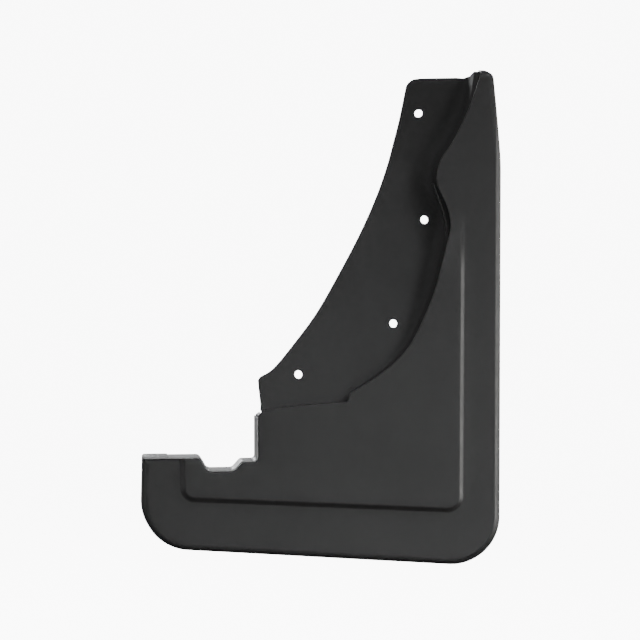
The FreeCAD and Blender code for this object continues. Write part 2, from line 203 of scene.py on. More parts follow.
def inside(pts, poly):
    x, z = pts[:, 0], pts[:, 1]
    res = np.zeros(len(pts), bool)
    px, pz = poly[:, 0], poly[:, 1]
    j = len(poly) - 1
    for i in range(len(poly)):
        cond = (pz[i] > z) != (pz[j] > z)
        with np.errstate(divide="ignore", invalid="ignore"):
            xx = (px[j] - px[i]) * (z - pz[i]) / (pz[j] - pz[i] + 1e-30) + px[i]
        res ^= cond & (x < xx)
        j = i
    return res


def dist_to(pts, line, closed=False):
    """Distance to a polyline, and the unit direction from the nearest point of it."""
    a = line if not closed else np.vstack([line, line[:1]])
    best = np.full(len(pts), 1e9)
    near = np.zeros_like(pts)
    for p, q in zip(a[:-1], a[1:]):
        v = q - p
        L = float(v @ v)
        if L < 1e-12:
            continue
        t = np.clip(((pts - p) @ v) / L, 0, 1)
        c = p + t[:, None] * v
        dd = np.hypot(*(pts - c).T)
        m = dd < best
        best[m] = dd[m]
        near[m] = c[m]
    return best, near


def smooth(t):
    t = np.clip(t, 0, 1)
    return t * t * (3 - 2 * t)


def triangulate(boundary, holes=(), lines=(), free=None, keep=None):
    """Boundary polygon, hole polygons, inner polylines and free points: vertices and triangles.
    The boundary's points come first, then the holes' points, in their own order."""
    V, E, exact = [], [], []

    def ring(p, closed=True):
        b = len(V)
        p = np.asarray(p, float)
        if closed:
            # a few microns of zigzag, taken out again below, so that no three are in line
            t = np.roll(p, -1, 0) - np.roll(p, 1, 0)
            t /= np.linalg.norm(t, axis=1)[:, None] + 1e-12
            exact.append(p)
            p = p + np.stack([-t[:, 1], t[:, 0]], 1) * (0.004 * (np.arange(len(p)) % 2))[:, None]
        V.extend([tuple(q) for q in p])
        m = len(p)
        for k in range(m if closed else m - 1):
            E.append((b + k, b + (k + 1) % m))
    ring(boundary)
    for h in holes:
        ring(h)
    nb = len(V)
    for l in lines:
        ring(l, False)
    if free is not None and len(free):
        V.extend([tuple(q) for q in free])
    vo, eo, fo, ov, oe, of_ = delaunay_2d_cdt([Vector(v) for v in V], E, [], 0, 1e-5)
    P = np.array([tuple(v) for v in vo])
    tris = np.array(fo, int)
    where = {}
    for new, olds in enumerate(ov):
        for o in olds:
            where[o] = new
    wall, k0 = set(), 0
    for r in [boundary] + list(holes):
        m = len(r)
        for k in range(m):
            a, b = where[k0 + k], where[k0 + (k + 1) % m]
            wall.add((min(a, b), max(a, b)))
        k0 += m
    # regions cut out by the rings, each judged once by its largest triangle
    side = {}
    root = list(range(len(tris)))

    def find(a):
        while root[a] != a:
            root[a] = root[root[a]]
            a = root[a]
        return a
    for t, (a, b, c) in enumerate(tris):
        for e in ((a, b), (b, c), (c, a)):
            e = (int(min(e)), int(max(e)))
            if e in wall:
                continue
            if e in side:
                root[find(t)] = find(side[e])
            else:
                side[e] = t
    c = P[tris].mean(1)
    a, b, g = P[tris[:, 0]], P[tris[:, 1]], P[tris[:, 2]]
    size = np.abs((b[:, 0] - a[:, 0]) * (g[:, 1] - a[:, 1]) - (b[:, 1] - a[:, 1]) * (g[:, 0] - a[:, 0]))
    good = inside(c, np.array(boundary))
    for h in holes:
        good &= ~inside(c, np.array(h))
    roots = np.array([find(t) for t in range(len(tris))])
    ok = np.zeros(len(tris), bool)
    for r in np.unique(roots):
        m = np.where(roots == r)[0]
        if good[m[np.argmax(size[m])]]:
            ok[m] = True
    tris = tris[ok]
    # put the boundary and hole vertices first
    first = [where[k] for k in range(nb)]
    order = np.full(len(P), -1)
    for k, w in enumerate(first):
        order[w] = k
    used = np.unique(tris)
    nxt = nb
    for w in used:
        if order[w] < 0:
            order[w] = nxt
            nxt += 1
    Q = np.zeros((nxt, 2))
    for w in range(len(P)):
        if order[w] >= 0:
            Q[order[w]] = P[w]
    tris = order[tris]
    Q[:nb] = np.vstack(exact)
    a, b, c = Q[tris[:, 0]], Q[tris[:, 1]], Q[tris[:, 2]]
    area = (b[:, 0] - a[:, 0]) * (c[:, 1] - a[:, 1]) - (b[:, 1] - a[:, 1]) * (c[:, 0] - a[:, 0])
    flip = area < 0
    tris[flip] = tris[flip][:, ::-1]
    return Q, tris


class Soup:
    """Vertices (mm) and faces of one object."""

    def __init__(self):
        self.v, self.f = [], []

    def add(self, verts, faces):
        b = len(self.v)
        self.v.extend([tuple(p) for p in verts])
        self.f.extend([tuple(int(i) + b for i in f) for f in faces])
        return b

    def make(self, name, sharp=35.0):
        me = bpy.data.meshes.new(name)
        me.from_pydata([(x * 0.001, y * 0.001, z * 0.001) for x, y, z in self.v], [], self.f)
        me.validate()
        ob = bpy.data.objects.new(name, me)
        bpy.context.scene.collection.objects.link(ob)
        finish_mesh(ob, sharp)
        return ob


def finish_mesh(ob, sharp=35.0):
    import bmesh
    me = ob.data
    bm = bmesh.new()
    bm.from_mesh(me)
    bmesh.ops.remove_doubles(bm, verts=bm.verts, dist=2e-6)
    bmesh.ops.dissolve_degenerate(bm, dist=1e-7, edges=bm.edges)
    bmesh.ops.recalc_face_normals(bm, faces=bm.faces)
    bm.to_mesh(me)
    bm.free()
    for p in me.polygons:
        p.use_smooth = True
    me.set_sharp_from_angle(angle=math.radians(sharp))
    me.update()


def xyz(p, y):
    p = np.asarray(p, float)
    y = np.broadcast_to(y, (len(p),))
    return np.stack([p[:, 0], y, p[:, 1]], 1)


def prism(soup, poly, y0, y1, bev=0.5, hole=None):
    """Closed plate over a polygon with small bevels on the back side (y1)."""
    poly = np.asarray(poly, float)
    Q, T = triangulate(poly)
    n = len(poly)
    t = np.roll(poly, -1, 0) - np.roll(poly, 1, 0)
    t /= np.linalg.norm(t, axis=1)[:, None] + 1e-12
    area = 0.5 * np.sum(poly[:, 0] * np.roll(poly[:, 1], -1) - np.roll(poly[:, 0], -1) * poly[:, 1])
    nin = np.stack([-t[:, 1], t[:, 0]], 1) * (1 if area > 0 else -1)
    rings = [(0, y0), (0, y1 - bev), (bev * 0.3, y1 - bev * 0.3), (bev, y1)]
    verts, faces = [], []
    for d, y in rings:
        verts.append(xyz(poly + nin * d, y))
    verts = np.vstack(verts)
    for k in range(len(rings) - 1):
        for i in range(n):
            j = (i + 1) % n
            faces.append((k * n + i, k * n + j, (k + 1) * n + j, (k + 1) * n + i))
    b0 = len(verts)
    extra = Q[n:]
    if len(extra):
        verts = np.vstack([verts, xyz(extra, y0), xyz(extra, y1)])
    m = len(extra)

    def idx(k, ring):
        return ring * n + k if k < n else b0 + (k - n) + (0 if ring == 0 else m)
    for a, b, c in T:
        faces.append((idx(a, 0), idx(b, 0), idx(c, 0)))
        faces.append((idx(c, 3), idx(b, 3), idx(a, 3)))
    soup.add(verts, faces)


def lathe(soup, x, z, prof, axis=(0, 1, 0), base=(0, 0, 0), n=40):
    """Closed ring: prof is a closed loop of (radius, height along axis)."""
    ax = Vector(axis).normalized()
    u = ax.orthogonal().normalized()
    w = ax.cross(u)
    verts, faces = [], []
    m = len(prof)
    for i in range(n):
        a = 2 * math.pi * i / n
        rad = u * math.cos(a) + w * math.sin(a)
        for r, h in prof:
            verts.append(tuple(Vector(base) + Vector((x, 0, z)) + rad * r + ax * h))
    for i in range(n):
        for k in range(m):
            a, b = i * m + k, i * m + (k + 1) % m
            c, d = ((i + 1) % n) * m + (k + 1) % m, ((i + 1) % n) * m + k
            faces.append((a, b, c, d))
    soup.add(verts, faces)


# ------------------------------------------------------------ the panel's shape
step_line = Chain([((p[0], p[1]), r) for p, r in STEP], closed=False, step=1.5, arc_n=14)
STEP0 = step_line.sample(0.0)
STEP_POLY = np.vstack([STEP0, [(-191.6, 60.0), (33.45, 60.0)]])


def ease(t, a, b):
    """0 to 1 over a + b + a: rounded foot, straight flank, rounded top."""
    t = np.clip(t, 0, 2 * a + b)
    m = 1.0 / (a + b)
    foot_ = m * t * t / (2 * a)
    flank = m * (a / 2 + (t - a))
    top_ = 1 - m * (2 * a + b - t) ** 2 / (2 * a)
    return np.where(t < a, foot_, np.where(t < a + b, flank, top_))


def face_y(P):
    """Front surface of the panel, mm, at x, z."""
    d, _ = dist_to(P, STEP0)
    ins = inside(P, STEP_POLY)
    sd = np.where(ins, d, -d)
    s = ease(sd, 1.3, 2.1)
    fade = smooth((FIELD_TOP - P[:, 1]) / (FIELD_TOP - FIELD_FULL))
    return Y_FACE - FIELD_H * s * fade


notch_line = Chain([(p, r) for p, r in NOTCH], closed=False, step=1.5)
BEV_A1, BEV_A2 = 37.0, 63.0     # slope of the rim's bevel at its inner and outer edge, degrees
D_IN = 5.3                      # width of the swept rim all round the panel
THIN = 1.27 / D_IN              # the same loops, drawn in close along the inner edge


def panel_corners():
    """The panel's outline, clockwise seen from the front."""
    nl = []
    n = len(NOTCH)
    P = [np.array(p) for p, r in NOTCH]
    for i in range(n):
        if i == 0:
            nl.append(((-218.95, -265.3), 0)); continue
        t0 = (P[i] - P[i - 1]) / np.linalg.norm(P[i] - P[i - 1])
        n0 = np.array([t0[1], -t0[0]])
        if i == n - 1:
            q = P[i] + n0 * TRIM_T
            nl.append(((q[0], -229.2), 0)); continue
        t1 = (P[i + 1] - P[i]) / np.linalg.norm(P[i + 1] - P[i])
        n1 = np.array([t1[1], -t1[0]])
        a, c = P[i] + n0 * TRIM_T, P[i] + n1 * TRIM_T
        k = cross2(c - a, t1) / cross2(t0, t1)
        q = a + t0 * k
        r = NOTCH[i][1] + (TRIM_T if cross2(t0, t1) > 0 else -TRIM_T)
        nl.append(((q[0], q[1]), r))
    inner = spline_pts(INNER, 3)
    inner = [tuple(p) for p in resample(inner, 2.2)]
    foot = [tuple(p) for p in resample(spline_pts(INNER_FOOT, 3), 3.0)]
    up = [p for p in reversed(foot) if p[0] > -121.5] + [p for p in reversed(inner) if p[1] < 27.0]
    cor = PERIMETER[:-1] + nl + [(p, 0) for p in up]
    kinds = ["rim"] * len(PERIMETER[:-1]) + ["notch"] * (len(nl) - 1) + ["thin"] * (1 + len(up))
    return cor, kinds


corners, kinds = panel_corners()
fac = [1.0 if k != "thin" else THIN for k in kinds]
edge_n = {}
for i, (c, k) in enumerate(zip(corners, kinds)):
    if k == "notch" and abs(c[0][0] + 218.95) < 0.01:
        edge_n[i] = 70
outline = Chain(corners, closed=True, factor=fac, step=2.0, edge_n=edge_n)
base = outline.sample(0.0)
own = list(outline.owner)
N = len(base)
dom = outline.sample(D_IN)
yf_b = face_y(dom)


def profile(kind, depth, R=5.0):
    """Rim section from the front sheet round to the back sheet: (inward d, y from the front)."""
    T = T_WALL
    if kind == "thin":
        r = 0.25
        out = [(1.27, 0.0)]
        for a in np.linspace(0, 90, 7):
            out.append((r - r * math.sin(math.radians(a)), r - r * math.cos(math.radians(a))))
        for t in (0.33, 0.66, 1.0):
            out.append((0.0, r + (T - 2 * 0.8 - r + 0.8) * t))
        for a in np.linspace(0, 90, 14)[1:]:
            out.append((0.8 - 0.8 * math.cos(math.radians(a)), T - 0.8 + 0.8 * math.sin(math.radians(a))))
        out.append((1.27, T))
        return [(d / THIN, y) for d, y in out]
    R = R if kind == "rim" else 1.0
    q = 0.8
    out = [(D_IN, 0.0)]
    # slightly domed bevel: a1 to a2 away from the front plane
    a1, a2 = (0.0, 90.0) if kind == "notch" else (BEV_A1, BEV_A2)
    c1, s1, s2 = math.cos(math.radians(a1)), math.sin(math.radians(a1)), math.sin(math.radians(a2))
    rho = R / (s2 - s1)
    for a in np.linspace(a1, a2, 7):
        out.append((rho * (s2 - math.sin(math.radians(a))), rho * (c1 - math.cos(math.radians(a)))))
    R = out[-1][1]
    for t in (0.33, 0.66, 1.0):
        out.append((0.0, R + (depth - q - R) * t))
    for a in (30, 60, 90):
        out.append((q - q * math.cos(math.radians(a)), depth - q + q * math.sin(math.radians(a))))
    for a in (0, 30, 60, 90):
        out.append((T - q + q * math.sin(math.radians(a)), depth - q + q * math.cos(math.radians(a))))
    for t in (0.33, 0.66, 1.0):
        out.append((T, depth - q + (T + 1.5 - depth + q) * t))
    for a in (30, 60, 90):
        out.append((T + 1.5 - 1.5 * math.cos(math.radians(a)), T + 1.5 - 1.5 * math.sin(math.radians(a))))
    out.append((D_IN, T))
    return out


K = len(profile("rim", 20.0))
assert K == len(profile("thin", 3.0)) == len(profile("notch", 20.0))
depth_i = (Y_FACE + WALL_D) - yf_b
rim_loops = np.zeros((K, N, 3))
grid_d = np.linspace(0.0, D_IN, 24)
grid_p = np.stack([outline.sample(d) for d in grid_d])       # the outline drawn in by each step
# the rolled front edge starts below the horn and is full from there down
roll = 1.2 + 3.8 * smooth((12.0 - base[:, 1]) / 60.0)
# and narrower along the bottom and the inboard end
roll *= 1.0 - 0.45 * smooth((45.0 - base[:, 0]) / 30.0)
for i in range(N):
    for k, (d, y) in enumerate(profile(kinds[own[i]], depth_i[i], roll[i])):
        t = min(max(d / D_IN, 0.0), 1.0) * (len(grid_d) - 1)
        j = min(int(t), len(grid_d) - 2)
        q = grid_p[j, i] * (1 - (t - j)) + grid_p[j + 1, i] * (t - j)
        rim_loops[k, i] = (q[0], yf_b[i] + y, q[1])



def ease_corner(P):
    """Rounds the small corner where the notch wall meets the foot of the arch."""
    P = np.array(P, float)
    k = smooth((-125.4 - P[..., 0]) / 4.7) * smooth((P[..., -1] + 240.0) / 10.0)
    P[..., -1] -= 2.6 * k
    return P


rim_loops = ease_corner(rim_loops)
lo, hi = dom.min(0), dom.max(0)
lines = []
for sd in (0.0, 0.33, 0.65, 0.98, 1.3, 2.0, 2.7, 3.4, 3.72, 4.05, 4.37, 4.7):
    L = step_line.sample(sd)
    keep = inside(L, outline.sample(D_IN + 0.35))
    L = L[keep]
    L = L[L[:, 1] < FIELD_TOP + 4]
    lines.append(L)
gx, gz = np.meshgrid(np.arange(lo[0], hi[0], 4.0), np.arange(lo[1], hi[1], 4.0))
G = np.stack([gx.ravel(), gz.ravel()], 1)
G[:, 0] += (np.arange(len(G)) % 2) * 0.01
inner_dom = outline.sample(D_IN + 1.5)
G = G[inside(G, dom)]
dd, _ = dist_to(G, dom, True)
G = G[dd > 1.6]
dd, _ = dist_to(G, STEP0)
G = G[dd > 6.4]
Q, T = triangulate(dom, lines=lines, free=G)
yq = face_y(Q)
yq[:N] = yf_b
panel = Soup()
nq = len(Q)
front = ease_corner(xyz(Q, yq))
back = ease_corner(xyz(Q, yq + T_WALL))
verts = [front, back]
faces = [tuple(t) for t in T] + [tuple(int(v) + nq for v in t[::-1]) for t in T]
base_i = 2 * nq
verts.append(rim_loops[1:K - 1].reshape(-1, 3))


def loop_index(k, i):
    if k == 0:
        return i
    if k == K - 1:
        return nq + i
    return base_i + (k - 1) * N + i


for k in range(K - 1):
    for i in range(N):
        j = (i + 1) % N
        faces.append((loop_index(k, i), loop_index(k, j), loop_index(k + 1, j), loop_index(k + 1, i)))
panel.add(np.vstack(verts), faces)


# land under the lap joint, and the ribs behind the raised field
inner_all = resample(spline_pts(INNER, 3), 2.0)
foot_all = resample(spline_pts(INNER_FOOT, 3), 2.0)
IN_LINE = np.vstack([inner_all[:-1], foot_all])


def normals(line):
    """Unit vectors to the left of travel, mitred."""
    t = np.diff(line, axis=0)
    t /= np.linalg.norm(t, axis=1)[:, None]
    n = np.stack([-t[:, 1], t[:, 0]], 1)
    m = np.vstack([n[:1], (n[:-1] + n[1:]) / 2, n[-1:]])
    L = np.linalg.norm(m, axis=1)
    return m / (L ** 2)[:, None].clip(0.5)


def shifted(line, d):
    return line + normals(line) * np.asarray(d).reshape(-1, 1)


lap_line = resample(spline_pts(LAP, 3), 3.0)
land_in = shifted(IN_LINE, 1.0)
land_in = land_in[land_in[:, 1] < 28.0]
land_poly = np.vstack([land_in[:-2], [(-124.5, -233.2), (-124.5, -240.4)], lap_line[::-1]])
prism(panel, land_poly, Y_FACE + T_WALL - 0.4, LAP_Y, 0.4)


def rib(x, top):
    bot = -354.7 + (61.2 - x) * 0.0692 + 2.0
    zs = np.linspace(top, bot, max(6, int((top - bot) / 2.5)))
    sec = [(-1.15, -31.3), (-1.0, -27.0), (-0.75, -26.55), (-0.3, -26.35), (0.3, -26.35), (0.75, -26.55), (1.0, -27.0), (1.15, -31.3)]
    m = len(sec)
    verts, faces = [], []
    offs = face_y(np.stack([np.full(len(zs), x), zs], 1)) - FF
    for k, z in enumerate(zs):
        q = min(1.0, (k + 0.0) / 2.0)
        for sx, sy in sec:
            yy = sy if q >= 1 else -31.3 + (sy + 31.3) * math.sqrt(max(0.0, 1 - (1 - q) ** 2))
            verts.append((x + sx, yy + min(float(offs[k]), 1.2), z))
    for k in range(len(zs) - 1):
        for i in range(m):
            j = (i + 1) % m
            faces.append((k * m + i, k * m + j, (k + 1) * m + j, (k + 1) * m + i))
    faces.append(tuple(range(m)))
    faces.append(tuple(range((len(zs) - 1) * m, len(zs) * m))[::-1])
    panel.add(verts, faces)


for x, top in ((-150.0, -288.0), (-100.0, -254.0), (-55.0, -250.5), (-10.0, -220.5)):
    rib(x, top)


def cut_out(ob, cutters, sharp):
    """Exact mesh difference, written back as plain mesh data."""
    for c in cutters:
        m = ob.modifiers.new("cut", "BOOLEAN")
        m.operation, m.solver, m.object = "DIFFERENCE", "EXACT", c
    dg = bpy.context.evaluated_depsgraph_get()
    me = bpy.data.meshes.new_from_object(ob.evaluated_get(dg))
    ob.modifiers.clear()
    ob.data = me
    finish_mesh(ob, sharp)


def drum(x, y, z0, z1, r, n=48):
    s = Soup()
    v = [(x + r * math.cos(2 * math.pi * k / n), y + r * math.sin(2 * math.pi * k / n), z)
         for z in (z0, z1) for k in range(n)]
    f = [(k, (k + 1) % n, n + (k + 1) % n, n + k) for k in range(n)]
    f += [tuple(range(n))[::-1], tuple(range(n, 2 * n))]
    s.add(v, f)
    return s.make("drum", 40)


panel_ob = panel.make("panel_skin", 40)
hole = drum(LEDGE_HOLE[0], LEDGE_HOLE[1], -272.0, -258.0, 2.5)
cut_out(panel_ob, [hole], 40)

# -------------------------------------------------------------------- the wing
n_lo = np.array([-LOW_B, 1, -LOW_C]); n_lo /= np.linalg.norm(n_lo)
n_up = np.array([-UP_B, 1, -UP_C]); n_up /= np.linalg.norm(n_up)


def plane_y(P):
    """Front of the bent wing sheet without its fillet: two planes with a soft crease."""
    a = CREASE[1] + LOW_B * (P[:, 0] - CREASE[0]) + LOW_C * (P[:, 1] - CREASE[2])
    b = CREASE[1] + UP_B * (P[:, 0] - CREASE[0]) + UP_C * (P[:, 1] - CREASE[2])
    h = 0.9
    return 0.5 * (a + b - np.sqrt((a - b) ** 2 + h * h))


def plane_n(P):
    e = 0.2
    gx = (plane_y(P + [e, 0]) - plane_y(P - [e, 0])) / (2 * e)
    gz = (plane_y(P + [0, e]) - plane_y(P - [0, e])) / (2 * e)
    n = np.stack([-gx, np.ones(len(P)), -gz], 1)
    return n / np.linalg.norm(n, axis=1)[:, None]


wall_line = resample(IN_LINE, 1.6)
wn = normals(wall_line)
horn = np.clip((wall_line[:, 1] + 2.0) / 36.5, 0, 1)
LEAN = np.stack([-7.4 * horn ** 1.15, -4.9 * smooth((wall_line[:, 1] - 8.0) / 26.5)], 1)
foot_line = wall_line + wn * 0.6 + LEAN
drop_w = plane_y(foot_line) - LAP_Y
deep = smooth((drop_w - 1.0) / 6.0)
R_w = np.clip(0.45 * drop_w - 0.6, 0.4, 9.5)
tilt = np.zeros(len(wall_line))
for _ in range(6):
    up = np.maximum(drop_w - R_w * (1 - np.cos(math.pi / 2 - tilt)), 1.0)
    tilt = np.where(horn > 0, np.arctan2(0.35 * np.hypot(*LEAN.T), up), 0.0)
phi = math.pi / 2 - tilt


def wing_front(P):
    """Front y and the direction through the sheet at x, z."""
    d, near = dist_to(P, foot_line)
    idx = np.array([np.argmin(np.hypot(*(foot_line - q).T)) for q in near])
    R = R_w[idx]
    s = deep[idx]
    c = np.clip(np.sin(phi[idx]) - d / R, 0, 1)
    rise = R - np.sqrt(np.maximum(R * R - (R * c) ** 2, 0))
    y = plane_y(P) - rise
    u = wn[idx] / np.linalg.norm(wn[idx], axis=1)[:, None]
    nb = plane_n(P)
    c2 = (c * s)[:, None]
    n = nb * np.sqrt(1 - c2 ** 2) + np.stack([u[:, 0], np.zeros(len(u)), u[:, 1]], 1) * c2
    return y, n / np.linalg.norm(n, axis=1)[:, None]


arch_all = np.vstack([resample(ARCH_LOW, 3.0)[:-1],
                      resample(spline_pts([ARCH_LOW[-1]] + ARCH_EDGE + ARCH_TOP, 4), 2.5)])
top_pt = foot_line[0]
arch_all = arch_all[(arch_all[:, 0] < top_pt[0] - 7.0) | (arch_all[:, 1] < 20.0)]
arch_all = np.vstack([arch_all, spline_pts([tuple(arch_all[-1]), (top_pt[0] - 4.6, top_pt[1] - 2.6),
                                            (top_pt[0] - 2.0, top_pt[1] - 1.5), tuple(top_pt)], 3)[1:-1]])
bottom_pt = foot_line[-1]
# free edge from the bottom end of the wall round to its top end
free_edge = np.vstack([[bottom_pt], arch_all, [top_pt]])
nF = len(free_edge)
ring2 = np.vstack([free_edge, foot_line[1:-1]])          # closed: free edge up, wall line down
hole_rings, hole_mid = [], []
for i, (x, z) in enumerate(HOLES):
    n = n_up if i == 0 else n_lo
    q = np.array([[x, z]])
    yc = float(plane_y(q)[0]) + 1.5 / n[1] if i else 0.0
    hole_mid.append((np.array([x, yc, z]), n))
M = 48


def hole_circle(i, r):
    c, n = hole_mid[i]
    f = c - n * 1.5
    a = np.arange(M) * 2 * math.pi / M
    u = np.cross(n, [0, 0, 1.0]); u /= np.linalg.norm(u)
    w = np.cross(u, n)
    return f + r * (np.cos(a)[:, None] * u + np.sin(a)[:, None] * w)


rim_r = HOLE_R + 0.35
hp = [hole_circle(i, rim_r)[:, [0, 2]] for i in range(4)]
halo = [hole_circle(i, r)[:, [0, 2]] for i in range(4) for r in (4.4, 6.0)]
lo, hi = ring2.min(0), ring2.max(0)
gx, gz = np.meshgrid(np.arange(lo[0], hi[0], 3.0), np.arange(lo[1], hi[1], 3.0))
G = np.stack([gx.ravel(), gz.ravel()], 1)
G[:, 0] += (np.round(G[:, 1] / 3.0) % 2) * 1.5
G = G[inside(G, ring2)]
d1, _ = dist_to(G, ring2, True)
d2, _ = dist_to(G, foot_line)
G = G[(d1 > 1.5) & (d2 > 12.0)]
for i in range(4):
    G = G[np.hypot(*(G - hole_mid[i][0][[0, 2]]).T) > 7.4]
near_lines = []
fn = -wn / np.linalg.norm(wn, axis=1)[:, None]
for off in (0.25, 0.7, 1.4, 2.3, 3.4, 4.7, 6.2, 7.8, 9.6, 11.4):
    L = foot_line + fn * off
    L = L[inside(L, ring2)]
    dd, _ = dist_to(L, foot_line)
    L = L[dd > off - 0.12]
    dd, _ = dist_to(L, free_edge)
    L = L[dd > 0.9]
    for i in range(4):
        L = L[np.hypot(*(L - hole_mid[i][0][[0, 2]]).T) > 7.4]
    near_lines.append(L)
free_pts = np.vstack([G] + near_lines + halo)
Q, T = triangulate(ring2, holes=hp, free=free_pts)
yq, nq_ = wing_front(Q)
front = xyz(Q, yq)
nw = len(Q)
back = front + 3.0 * nq_
wing = Soup()
V3 = [front, back]
F3 = [tuple(t) for t in T] + [tuple(int(v) + nw for v in t[::-1]) for t in T]
nb = 2 * nw
nr = len(ring2)

# free edge: bullnose
seg = 7
ids = []
t2 = np.gradient(free_edge, axis=0)
t2 /= np.linalg.norm(t2, axis=1)[:, None]
outw = np.stack([-t2[:, 1], t2[:, 0]], 1)
mid_pts = free_edge + outw * 3.0
if inside(mid_pts[nF // 2:nF // 2 + 1], ring2)[0]:
    outw = -outw
for i in range(nF):
    f, b = front[i], back[i]
    row = [i]
    for k in range(1, seg):
        a = math.pi * k / seg
        m = (f + b) / 2 + (f - b) / 2 * math.cos(a)
        o = 0.9 * math.sin(a) ** 0.8
        if i in (0, nF - 1):
            o *= 0.3
        m = m + np.array([outw[i][0], 0, outw[i][1]]) * o
        V3.append(m[None, :]); row.append(nb); nb += 1
    row.append(nw + i)
    ids.append(row)
for i in range(nF - 1):
    for k in range(seg):
        F3.append((ids[i][k], ids[i + 1][k], ids[i + 1][k + 1], ids[i][k + 1]))

# wall and lap flange: one section per sample of the wall line
lapx = np.vstack([[(50.0, 60.0)], lap_line, [(-150.0, -240.0)]])


lap_s = np.concatenate([[0], np.cumsum(np.hypot(*np.diff(lapx, axis=0).T))])


def reach(p, u):
    """Length along the flange's edge where the normal from the wall meets it."""
    best, at = 45.0, None
    for k, (a, b) in enumerate(zip(lapx[:-1], lapx[1:])):
        e = b - a
        den = cross2(u, e)
        if abs(den) < 1e-9:
            continue
        t = cross2(a - p, e) / den
        s = cross2(a - p, u) / den
        if 1.0 < t < best and -1e-6 <= s <= 1 + 1e-6:
            best, at = t, lap_s[k] + s * (lap_s[k + 1] - lap_s[k])
    return at if at is not None else np.nan


un = wn / np.linalg.norm(wn, axis=1)[:, None]
tip_s = np.array([reach(p, u) for p, u in zip(wall_line, un)])
kk = np.arange(len(tip_s))
tip_s = np.interp(kk, kk[~np.isnan(tip_s)], tip_s[~np.isnan(tip_s)])
# the section ends run along the edge in order, so that no two sections cross
tip_s = (np.maximum.accumulate(tip_s) + np.minimum.accumulate(tip_s[::-1])[::-1]) / 2
for _ in range(40):
    tip_s[1:-1] = (tip_s[:-2] + 2 * tip_s[1:-1] + tip_s[2:]) / 4
tips = np.stack([np.interp(tip_s, lap_s, lapx[:, 0]), np.interp(tip_s, lap_s, lapx[:, 1])], 1)
w_out = np.hypot(*(tips - wall_line).T)
nwl = len(wall_line)


def out_at(i, o):
    """Point at width o from the wall: square to it at first, then straight to its own tip."""
    if o <= 1.4:
        return wall_line[i] + un[i] * o
    a = wall_line[i] + un[i] * 1.4
    return a + (tips[i] - a) * (o - 1.4) / (w_out[i] - 1.4)


rows = []
for i in range(nwl):
    vi = nF - 1 + i if i < nwl - 1 else 0          # index of this wall point on the closed ring
    if i == 0:
        vi = nF - 1
    P0, u = wall_line[i], un[i]
    y0 = front[vi][1]
    s = deep[i]
    w = w_out[i]
    yb = back[vi][1]
    lx = LEAN[i]
    h = horn[i] ** 0.8
    sg = 1 if y0 > LAP_Y + 0.8 else -1
    yw = LAP_Y + 0.8 * sg + 2.0 * h
    A = []
    for k in (0.25, 0.5, 0.75):
        A.append((0.6, y0 + (yw - y0) * k, 1 - 0.28 * k))
    yt = LAP_Y + 0.8 * sg
    A += [(0.6, yw, 0.72), (0.6, yw - 1.2 * h, 0.69), (0.6, yw - 1.9 * h, 0.62), (0.6, yt - 3.6 * h, 0.17),
          (0.6, yt - 3.3 * h, 0.11), (0.6, yt - 0.6 * h, 0.02)]
    A += [(0.83, LAP_Y + 0.23 * sg, 0.0), (1.4, LAP_Y, 0.0)]
    A += [(1.4 + (w - 2.2) * 0.5, LAP_Y, 0), (w - 0.8, LAP_Y, 0), (w - 0.2, LAP_Y + 0.35, 0), (w, LAP_Y + 1.0, 0),
          (w, LAP_Y + 2.0, 0), (w - 0.2, LAP_Y + 2.65, 0), (w - 0.8, LAP_Y + LAP_T, 0)]
    inner_o = 3.6 * s - 2.4 * (1 - s)
    A += [((w + inner_o) / 2, LAP_Y + LAP_T, 0), (inner_o + 1.5, LAP_Y + LAP_T, 0)]
    turn = 1 if yb > LAP_Y + LAP_T + 1.5 else -1
    A += [(inner_o + 0.44, LAP_Y + LAP_T + 0.44 * turn, 0), (inner_o, LAP_Y + LAP_T + 1.5 * turn, 0.0)]
    y1 = LAP_Y + LAP_T + 1.5 * turn
    ei = out_at(i, inner_o)
    e0 = np.array([ei[0], y1, ei[1]])
    row = [vi]
    sec_pts = []
    for o, y, l in A:
        q = out_at(i, o)
        sec_pts.append(np.array([q[0] + lx[0] * l, y, q[1] + lx[1] * max(0.0, (l - 0.72) / 0.28)]))
    for k in (0.33, 0.66):
        sec_pts.append(e0 + (back[vi] - e0) * k)
    for p in sec_pts:
        V3.append(p[None, :]); row.append(nb); nb += 1
    row.append(nw + vi)
    rows.append(row)
KW = len(rows[0])
for i in range(nwl - 1):
    for k in range(KW - 1):
        F3.append((rows[i][k], rows[i + 1][k], rows[i + 1][k + 1], rows[i][k + 1]))
# ends of the wall
F3.append(tuple(rows[0] + ids[-1][1:-1][::-1]))
F3.append(tuple(rows[-1] + ids[0][1:-1][::-1]))
# holes
for h in range(4):
    b = nr + h * M
    c, n = hole_mid[h]
    base_c = hole_circle(h, HOLE_R)
    rings_ = [[b + k for k in range(M)]]
    for dr, t in ((0.1, 0.1), (0.0, 0.35), (0.0, 1.5), (0.0, 2.65), (0.1, 2.9)):
        ring_pts = hole_circle(h, HOLE_R + dr) + n * t
        V3.append(ring_pts)
        rings_.append([nb + k for k in range(M)]); nb += M
    rings_.append([nw + b + k for k in range(M)])
    for r0, r1 in zip(rings_[:-1], rings_[1:]):
        for k in range(M):
            j = (k + 1) % M
            F3.append((r0[k], r0[j], r1[j], r1[k]))
wing.add(np.vstack(V3), F3)

